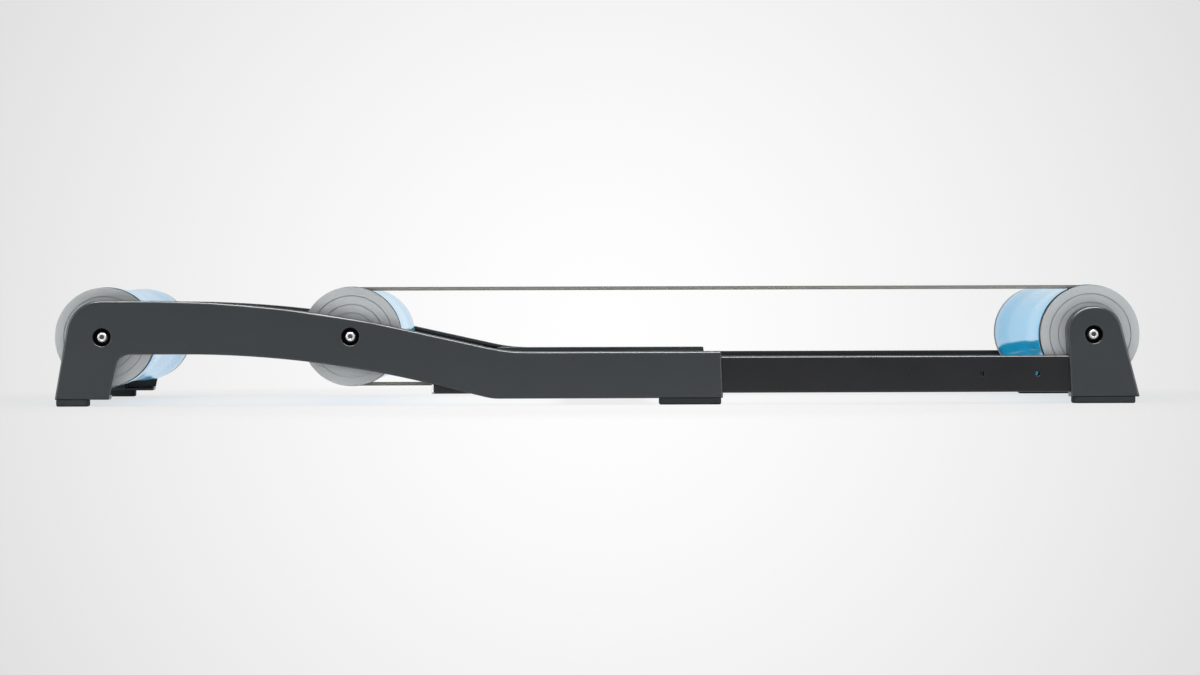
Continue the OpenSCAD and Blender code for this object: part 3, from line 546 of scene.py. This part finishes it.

# %% [markdown]
# ### Rubber, belt cord and nylon
# The feet are moulded black rubber: matt, and slightly dusty. The belt is a round polyurethane
# cord, extruded and welded to a ring, grey and a little waxy. The guides of the sliding tube are
# black nylon, the end plugs natural nylon, which lets some light in. The screws' recesses get a
# near-black finish that paints the shade inside them, and the lock knobs are black moulded
# plastic. What tells these plastics apart is how much they shine and how coarse their grain is.

# %% Rubber, cord and nylon
SOFT_PATCH_MM = 14


def soft_plastic(name, dark, light, roughness, specular, grain_mm, depth_mm, **sockets):
    """A plastic between two near tones, with grain this wide and this deep."""
    material, tree, shader = start_finish(
        name, Roughness=roughness, Specular_IOR_Level=specular, **sockets)
    mottle(tree, shader, dark, light, SOFT_PATCH_MM)
    place = add(tree, "TexCoord").outputs["Object"]
    grain = add(tree, "TexNoise", {"Vector": place, "Scale": lumps(grain_mm), "Detail": 3})
    bump = add(tree, "Bump", {"Strength": 1, "Distance": depth_mm * MM,
                              "Height": grain.outputs[0]})
    tree.links.new(bump.outputs[0], shader.inputs["Normal"])
    return material


foot_rubber = soft_plastic("moulded_black_rubber", "#212426", "#26292b", 0.75, 0.15, 1.3, 0.05)
belt_cord = soft_plastic("polyurethane_cord", "#6c6b66", "#74736f", 0.6, 0.1, 0.8, 0.004)
black_nylon = soft_plastic("black_nylon", "#1d1f20", "#232526", 0.4, 0.4, 1.2, 0.012)
pale_nylon = soft_plastic("natural_nylon", "#bdbebf", "#c6c7c8", 0.45, 0.4, 1.2, 0.012,
                          Subsurface_Weight=0.3, Subsurface_Scale=0.002,
                          Subsurface_Radius=(1, 1, 1))
# A near-black that paints the shade inside the screws' recesses.
recess_shade = soft_plastic("painted_shade_in_recesses", "#030303", "#050505", 0.6, 0.05, 1.2, 0.01)
knob_plastic = soft_plastic("moulded_black_knob", "#1c1e1f", "#222425", 0.5, 0.35, 1.0, 0.03)
print("soft", [soft.name for soft in (foot_rubber, belt_cord, black_nylon, pale_nylon,
                                      recess_shade, knob_plastic)])

# %% [markdown]
# ## Moulded and coated pieces
# Most of what shows on this object comes out of a mould or is bent from steel. Every piece made
# for the eye goes the same way: its mesh is put into the scene with its finish, and it stands
# for one node of the construction, which is hidden. Its faces are shaded as one smooth surface,
# apart from edges that turn by more than a given angle.

# %% Put a piece in its place
SHARP = math.radians(38)


def place_piece(name, data, material, slot, node):
    """Puts a mesh into the scene as the stand-in for a node of the construction."""
    piece = bpy.data.objects.new(name, data)
    bpy.context.scene.collection.objects.link(piece)
    data.materials.append(material)
    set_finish(piece, slot)
    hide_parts(node)
    return piece


def smooth(data, angle=SHARP):
    """Shades a mesh smoothly, apart from edges that turn by more than this angle."""
    data.shade_smooth()
    data.set_sharp_from_angle(angle=angle)


print("an edge is sharp above", round(math.degrees(SHARP)), "degrees")

# %% [markdown]
# A mould or a press never leaves a knife edge, and it is the small rounding that catches the
# light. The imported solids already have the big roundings, so each piece is a fresh copy of its
# solid with every sharp edge broken by a fraction of a millimetre. The copy is cleaned first:
# split corners are joined, and triangles on one flat face become one face. Where small faces
# crowd together, a bevel can throw a corner far off, so such a corner goes back to the solid.
# The last step weights the shading by area, so that flat faces look flat.

# %% Copy a solid with its edges broken
SAME_FACE = math.radians(0.6)
SLIVER_MM = 0.005
BREAK_MM = 0.35
MERGE_MM = 0.02


def broken_edges(name, node, break_mm, merge_mm):
    """A copy of a solid with its sharp edges broken. Corners thrown off by the bevel go back."""
    shape = bmesh.new()
    shape.from_mesh(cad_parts[node].data)
    solid = BVHTree.FromBMesh(shape)
    bmesh.ops.remove_doubles(shape, verts=shape.verts, dist=merge_mm * MM)
    bmesh.ops.dissolve_degenerate(shape, edges=shape.edges, dist=merge_mm * MM)
    bmesh.ops.dissolve_limit(shape, angle_limit=SAME_FACE, verts=shape.verts, edges=shape.edges)
    sharp = [e for e in shape.edges if e.is_manifold and e.calc_face_angle() > SHARP]
    bmesh.ops.bevel(shape, geom=sharp, offset=break_mm * MM, segments=2, profile=0.5,
                    affect="EDGES", clamp_overlap=False)
    for corner in shape.verts:
        nearest, _, _, gap = solid.find_nearest(corner.co)
        if gap > break_mm * MM / 2:
            corner.co = nearest
    bmesh.ops.dissolve_degenerate(shape, edges=shape.edges, dist=SLIVER_MM * MM)
    data = bpy.data.meshes.new(name)
    shape.to_mesh(data)
    shape.free()
    smooth(data)
    return data


def moulded(name, node, material, body, slot, break_mm=BREAK_MM, merge_mm=MERGE_MM):
    """A copy of a node with broken edges, which rides on a body."""
    data = broken_edges(name, node, break_mm, merge_mm)
    piece = place_piece(name, data, material, slot, node)
    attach(piece, body)
    even = piece.modifiers.new("even_normals", "WEIGHTED_NORMAL")
    even.keep_sharp = True
    return piece


print("edges broken by", BREAK_MM, "mm")

# %% [markdown]
# The two sides are built alike. The rails and legs are ribbed, and their many short edges leave
# corners close together, so these are joined over a larger distance. Rubber gets the softest
# edges and the coated tube the crispest.

# %% Pieces of the two sides
RIBBED_MERGE_MM = 0.15

for side in SIDES:
    moulded(f"{side}_rail", f"{side}_rear_rail", polypropylene, "rear_frame", "rail_plastic",
            merge_mm=RIBBED_MERGE_MM)
    moulded(f"{side}_leg", f"{side}_front_leg", polypropylene, "front_carriage",
            "rail_plastic", merge_mm=RIBBED_MERGE_MM)
    moulded(f"{side}_sliding_tube", f"{side}_front_tube", tube_coat, "front_carriage",
            "tube_steel", break_mm=0.3)
    moulded(f"{side}_collar", f"{side}_guide_collar", black_nylon, "rear_frame", "bush_nylon")
    moulded(f"{side}_lock_barrel", f"{side}_lock_housing", black_nylon, "rear_frame",
            "bush_nylon", break_mm=0.4)
    moulded(f"{side}_lock_grip", f"{side}_lock_knob", knob_plastic, f"{side}_lock",
            "knob_plastic", break_mm=0.4)
    for place, body in ROLLERS.items():
        moulded(f"{side}_{place}_pad", f"{side}_{place}_foot", foot_rubber, body,
                "foot_rubber", break_mm=0.5)

# %% [markdown]
# The recess round each axle screw shows nearly black, because little light reaches it, and that
# shade is painted. The recess is already in the solid, so no piece is added: the faces whose
# corners all lie near the axle's line get a near-black second finish as painted shade. In the
# same way the hexagon socket in each screw's head gets a darker steel as painted shade.

# %% Screws, and the painted shade of recesses and sockets
RECESS_R = 10.05
SOCKET_R = 2.95
RECESS_AXLES = {"rail": ("rear", "middle"), "leg": ("front",)}


def paint_shade_near_axles(data, radius, rollers, material):
    """Paints shade: the faces within this many mm of the rollers' axles get another finish."""
    data.materials.append(material)
    for axle in rollers:
        centre = sum(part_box(f"{axle}_axle"), Vector()) / 2
        for face in data.polygons:
            corners = [data.vertices[v].co - centre for v in face.vertices]
            if max(math.hypot(c.x, c.z) for c in corners) < radius * MM:
                face.material_index = 1


for side in SIDES:
    for moulding, rollers in RECESS_AXLES.items():
        # The recess faces get a near-black finish as painted shade.
        paint_shade_near_axles(bpy.data.objects[f"{side}_{moulding}"].data, RECESS_R, rollers,
                    recess_shade)
for roller, body in ROLLERS.items():
    screws = moulded(f"{roller}_socket_screws", f"{roller}_axle_screws", plated_steel, body,
                     "screw_steel", break_mm=0.25)
    # The sockets get the darker steel as painted shade.
    paint_shade_near_axles(screws.data, SOCKET_R, [roller], socket_shade_steel)
    print(roller, "screws: faces in the sockets",
          sum(face.material_index for face in screws.data.polygons))

# %% [markdown]
# The flat crossbar is a channel of coated steel under the belt. The guides are strips above and
# below each tube inside the rails, and the plugs close the tubes' rear ends.

# %% Crossbar, guides and plugs
moulded("flat_crossbar", "middle_crossbar", bar_coat, "rear_frame", "bar_steel", break_mm=0.3)
moulded("tube_guides", "rear_guide_pads", black_nylon, "rear_frame", "bush_nylon", break_mm=0.3)
moulded("tube_plugs", "tube_end_plugs", pale_nylon, "front_carriage", "plug_nylon",
        break_mm=0.3)

# %% [markdown]
# ## Rollers
# A roller is a body of revolution, and so is each of its end caps. Turning a profile about the
# axle is the natural way to make both, just as the lathe does. The shell's waist runs out into
# the full radius in a soft curve. Each piece's own origin lies on its axle, so that the rings in
# the finish run round it.

# %% Turn a profile about the axle
SEGMENTS = 128
TURNED_SHARP = math.radians(30)


def turned(name, profile, shaded_bands=()):
    """Spins the (radius, place along Y) points in mm, listed round the section, about Y.

    The bands that start at the points numbered in the last argument get the piece's second
    material, as painted shade.
    """
    turns = [math.tau * i / SEGMENTS for i in range(SEGMENTS)]
    points = [(r * MM * math.cos(a), y * MM, r * MM * math.sin(a))
              for r, y in profile for a in turns]
    count = len(profile)
    faces = [
        (k * SEGMENTS + i, k * SEGMENTS + (i + 1) % SEGMENTS,
         (k + 1) % count * SEGMENTS + (i + 1) % SEGMENTS, (k + 1) % count * SEGMENTS + i)
        for k in range(count) for i in range(SEGMENTS)
    ]
    data = bpy.data.meshes.new(name)
    data.from_pydata(points, [], faces)
    shape = bmesh.new()
    shape.from_mesh(data)
    bmesh.ops.recalc_face_normals(shape, faces=shape.faces)
    shape.to_mesh(data)
    shape.free()
    for face in data.polygons:
        face.material_index = int(face.index // SEGMENTS in shaded_bands)
    smooth(data, TURNED_SHARP)
    return data


def axle_centre(roller):
    """The middle of a roller, on its axle, in metres."""
    low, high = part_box(f"{roller}_roller_shell")
    return (low + high) / 2


for roller in ROLLERS:
    print(roller, "axle at x", round(axle_centre(roller).x * 1000, 1), "mm")

# %% [markdown]
# The shell's outside is a smooth step between the waist and the full radius. Its ends meet the
# ridges of the caps, and its bore is wider there, where the spigots of the caps go in.

# %% Shells
ROLLER_R = 54.7
WAIST_R = 52.5
WAIST_HALF = 60
SHOULDER_HALF = 182
SHELL_HALF = 188
STEP_POINTS = 16
WALL = 3
BORE_WAIST_HALF = 160
BORE_STEP_HALF = 167
END_CHAMFER = 0.6


def shell_radius(y):
    """Outer radius at a distance from the roller's middle: a smooth step."""
    t = min(1, max(0, (abs(y) - WAIST_HALF) / (SHOULDER_HALF - WAIST_HALF)))
    return WAIST_R + (ROLLER_R - WAIST_R) * t * t * (3 - 2 * t)


def shell_profile():
    """The tube's section: the outside from end to end, then the bore on the way back."""
    steps = [WAIST_HALF + (SHOULDER_HALF - WAIST_HALF) * i / STEP_POINTS
             for i in range(STEP_POINTS + 1)]
    places = [-s for s in reversed(steps)] + steps
    end = SHELL_HALF - END_CHAMFER
    outside = [(ROLLER_R - END_CHAMFER, -SHELL_HALF), (ROLLER_R, -end)]
    outside += [(shell_radius(y), y) for y in places]
    outside += [(ROLLER_R, end), (ROLLER_R - END_CHAMFER, SHELL_HALF)]
    inside = [(ROLLER_R - WALL, SHELL_HALF), (ROLLER_R - WALL, BORE_STEP_HALF),
              (WAIST_R - WALL, BORE_WAIST_HALF), (WAIST_R - WALL, -BORE_WAIST_HALF),
              (ROLLER_R - WALL, -BORE_STEP_HALF), (ROLLER_R - WALL, -SHELL_HALF)]
    return outside + inside


for roller in ROLLERS:
    shell = place_piece(f"{roller}_shell", turned(f"{roller}_shell", shell_profile()),
                        roller_pvc, "roller_blue", f"{roller}_roller_shell")
    shell.location = axle_centre(roller)
    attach(shell, f"{roller}_roller")
print("shell points", len(shell_profile()))

# %% [markdown]
# Each cap has a face with three turned grooves, a rim, the belt's groove, a spigot inside the
# shell and a hub with the seat of the bearing. Names that end in R are radii, and those that
# end in END are places along the axle, from the roller's middle. All are in millimetres.

# %% Sizes of a cap
ROLLER_LENGTH = 411
CAP_FACE = ROLLER_LENGTH / 2
SEAT_R = 14
SEAT_CHAMFER = 0.5
SEAT_END = 196.5
BORE_R = 11
HUB_R = 18
HUB_END = 193.5
WEB = 4
SPIGOT_INNER_R = 46.2
SPIGOT_OUTER_R = 51.9
SPIGOT_END = 173
RIDGE_R = 54.6
RIDGE_END = 189.5
GROOVE_R = 49.7
GROOVE_ROUND = 2.4
FLANK_R = GROOVE_R + 1.2
FLANK_FEET = (192.4, 198.4)
BELT_PLACE = CAP_FACE - 10
FLANGE_R = 54.3
FLANGE_WIDTH = 4.6
FLANGE_CHAMFER = 0.3
RIM_ROUND = 0.8
RINGS = (25.5, 34.5, 44)
RING_WIDTH = 1
RING_DEPTH = 1.6

print("faces of a roller's caps", CAP_FACE, "mm off its middle")

# %% [markdown]
# The section is listed once round: the seat and the back, which are hidden, then the ridge
# beside the shell, the belt's groove, the rim and the face. The rim and the bottom of the belt's
# groove are rounded, and two edges have a small chamfer. The rest is left square, as the tool
# leaves it.

# %% Section of a cap


def arc_points(centre, radius, start, end, steps=5):
    """Points along an arc in the (radius, place) plane, angles in degrees."""
    angles = [math.radians(start + (end - start) * i / steps) for i in range(steps + 1)]
    return [(centre[0] + radius * math.cos(a), centre[1] + radius * math.sin(a))
            for a in angles]


def cap_profile():
    """The (radius, place along Y) points round the section of a cap on the left."""
    back = CAP_FACE - WEB
    hidden = [(SEAT_R, CAP_FACE - SEAT_CHAMFER), (SEAT_R, SEAT_END), (BORE_R, SEAT_END),
              (BORE_R, HUB_END), (HUB_R, HUB_END), (HUB_R, back), (SPIGOT_INNER_R, back),
              (SPIGOT_INNER_R, SPIGOT_END), (SPIGOT_OUTER_R, SPIGOT_END),
              (SPIGOT_OUTER_R, SHELL_HALF)]
    groove = [(RIDGE_R, SHELL_HALF), (RIDGE_R, RIDGE_END), (FLANK_R, FLANK_FEET[0])]
    groove += arc_points((GROOVE_R + GROOVE_ROUND, BELT_PLACE), GROOVE_ROUND, 250, 110, 6)
    groove += [(FLANK_R, FLANK_FEET[1]), (FLANGE_R - FLANGE_CHAMFER, CAP_FACE - FLANGE_WIDTH)]
    rim = [(FLANGE_R, back)]
    rim += arc_points((FLANGE_R - RIM_ROUND, CAP_FACE - RIM_ROUND), RIM_ROUND, 0, 90)
    face = []
    for ring in reversed(RINGS):
        face += [(ring + RING_WIDTH, CAP_FACE), (ring + RING_WIDTH, CAP_FACE - RING_DEPTH),
                 (ring, CAP_FACE - RING_DEPTH), (ring, CAP_FACE)]
    return hidden + groove + rim + face + [(SEAT_R + SEAT_CHAMFER, CAP_FACE)]


print("cap points", len(cap_profile()))

# %% [markdown]
# The belt's groove lies in shade, which is painted: the bands of faces from the ridge to the foot
# of the outer flank get black nylon as the cap's second finish. A cap on the right is the same
# section with its places mirrored.

# %% Caps
GROOVE_SHADE_BANDS = range(11, 20)

for roller in ROLLERS:
    for side, sign in SIDES.items():
        name = f"{roller}_{side}_cap"
        profile = [(r, sign * y) for r, y in cap_profile()]
        cap = place_piece(name, turned(name, profile, GROOVE_SHADE_BANDS), cap_abs, "cap_grey",
                          f"{roller}_roller_{side}_cap")
        # Black nylon as painted shade in the belt's groove.
        cap.data.materials.append(black_nylon)
        cap.location = axle_centre(roller)
        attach(cap, f"{roller}_roller")
print("black bands in each cap", len(GROOVE_SHADE_BANDS))

# %% [markdown]
# ## What the two strips light
# The edge strip only has to draw the light line along the upper edges of the near side. The
# roller strip lies across the frame, so that each polished roller shows one slim highlight along
# its length. A photographer would keep each of them off all other pieces with black cards, called
# flags. Here each strip is linked to the pieces that it is meant for, and lights no others.

# %% Link the strips to their pieces
EDGED = ["right_rail", "left_rail", "right_leg", "left_leg", "right_sliding_tube"]
EDGED += [f"{roller}_socket_screws" for roller in ROLLERS]
POLISHED = [f"{roller}_shell" for roller in ROLLERS]

for strip, names in ((edge_strip, EDGED), (roller_strip, POLISHED)):
    lit = bpy.data.collections.new(f"lit_by_{strip.name}")
    for name in names:
        lit.objects.link(bpy.data.objects[name])
    strip.light_linking.receiver_collection = lit
    print(strip.name, "lights", len(names), "pieces")

# %% [markdown]
# ## Belt and springs
# Both are round cord or wire along a line, so one function sweeps a circle along the points of
# that line. The belt is stretched as the frame is pulled out, and the springs give way as the
# lock pins move, so these pieces are not attached to either body.

# %% Sweep a round section along a line
SWEPT_SHARP = math.radians(50)


def swept(name, line, radius_mm, sides, closed):
    """A round tube along a list of points in mm."""
    points = [Vector(p) for p in line]
    count = len(points)
    verts, faces = [], []
    normal = None
    for k in range(count):
        before = points[k - 1] if closed or k else points[0]
        after = points[(k + 1) % count] if closed or k < count - 1 else points[k]
        tangent = (after - before).normalized()
        if normal is None:
            normal = tangent.orthogonal().normalized()
        normal = (normal - normal.dot(tangent) * tangent).normalized()
        other = tangent.cross(normal)
        verts += [(points[k] + radius_mm * (normal * math.cos(a) + other * math.sin(a))) * MM
                  for a in (math.tau * i / sides for i in range(sides))]
    for k in range(count if closed else count - 1):
        faces += [(k * sides + i, k * sides + (i + 1) % sides,
                   (k + 1) % count * sides + (i + 1) % sides, (k + 1) % count * sides + i)
                  for i in range(sides)]
    if not closed:
        faces.append(tuple(reversed(range(sides))))
        faces.append(tuple((count - 1) * sides + i for i in range(sides)))
    data = bpy.data.meshes.new(name)
    data.from_pydata(verts, [], faces)
    smooth(data, SWEPT_SHARP)
    return data


print("a swept edge is sharp above", round(math.degrees(SWEPT_SHARP)), "degrees")

# %% [markdown]
# The belt is one endless cord round the near grooves of the middle and the front roller: half a
# turn round each, and two straight runs.

# %% Belt
BELT_RADIUS = 2
BELT_PATH = 52
BELT_Y = -BELT_PLACE
AXLE_HEIGHT = 75
BEND_STEPS = 40


def belt_line():
    """The belt's centreline: half a turn round each groove, with straight runs between."""
    middle, front = (1000 * axle_centre(r).x for r in ("middle", "front"))
    line = []
    for centre, start in ((middle, 90), (front, 270)):
        for i in range(BEND_STEPS + 1):
            a = math.radians(start + 180 * i / BEND_STEPS)
            line.append((centre + BELT_PATH * math.cos(a), BELT_Y,
                         AXLE_HEIGHT + BELT_PATH * math.sin(a)))
    return line


loop = swept("round_belt", belt_line(), BELT_RADIUS, sides=16, closed=True)
belt = place_piece("round_belt", loop, belt_cord, "belt_rubber", "drive_belt")
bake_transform(belt)
print("belt", len(belt.data.vertices), "points")

# %% [markdown]
# The springs are compression springs with five turns. Each pushes its pin's collar towards the
# tube and stands on the housing's end.

# %% Lock springs
SPRING_TURNS = 5
WIRE_RADIUS = 0.45
STEPS_A_TURN = 24

for side, sign in SIDES.items():
    low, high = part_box(f"{side}_lock_spring")
    centre = (low + high) / 2 * 1000
    reach = (high.z - low.z) / 2 * 1000 - WIRE_RADIUS
    near = min(abs(low.y), abs(high.y)) * 1000 + WIRE_RADIUS
    far = max(abs(low.y), abs(high.y)) * 1000 - WIRE_RADIUS
    steps = SPRING_TURNS * STEPS_A_TURN
    line = []
    for i in range(steps + 1):
        a = math.tau * i / STEPS_A_TURN
        line.append((centre.x + reach * math.cos(a), sign * (near + (far - near) * i / steps),
                     centre.z + reach * math.sin(a)))
    name = f"{side}_lock_coil"
    wire = swept(name, line, WIRE_RADIUS, sides=8, closed=False)
    coil = place_piece(name, wire, spring_wire, "spring_steel", f"{side}_lock_spring")
    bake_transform(coil)
print("springs from", round(near, 1), "to", round(far, 1), "mm off the middle")

# %% [markdown]
# ## Metal parts
# Axles and spacers, bearings, lock pins, round crossbars, nylon washers and the screws inside
# the frame already have their true shape as exact solids, so they stay and only get their
# finish. A table says which ending of a node's name goes with which finish.

# %% Finishes for the solids that stay
STAYING = {
    "axle_steel": (turned_steel, ("axle", "spacers", "lock_pin")),
    "screw_steel": (plated_steel, ("screws",)),
    "bush_nylon": (black_nylon, ("washers",)),
    "bearing_steel": (ground_steel, ("rings", "bearings")),
    "bar_steel": (bar_coat, ("rear_crossbar", "front_crossbar")),
}

for node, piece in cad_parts.items():
    for slot, (material, endings) in STAYING.items():
        if node.endswith(endings) and not piece.hide_render:
            piece.data.materials.clear()
            piece.data.materials.append(material)
            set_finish(piece, slot)
plain = [n for n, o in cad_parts.items() if not o.hide_render and "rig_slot" not in o]
print("solids without a finish", plain)

# %% [markdown]
# ## Sizes
# The looks may not change the size. The box of everything that shows is worked out here.

# %% The box of everything that shows
low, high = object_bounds()
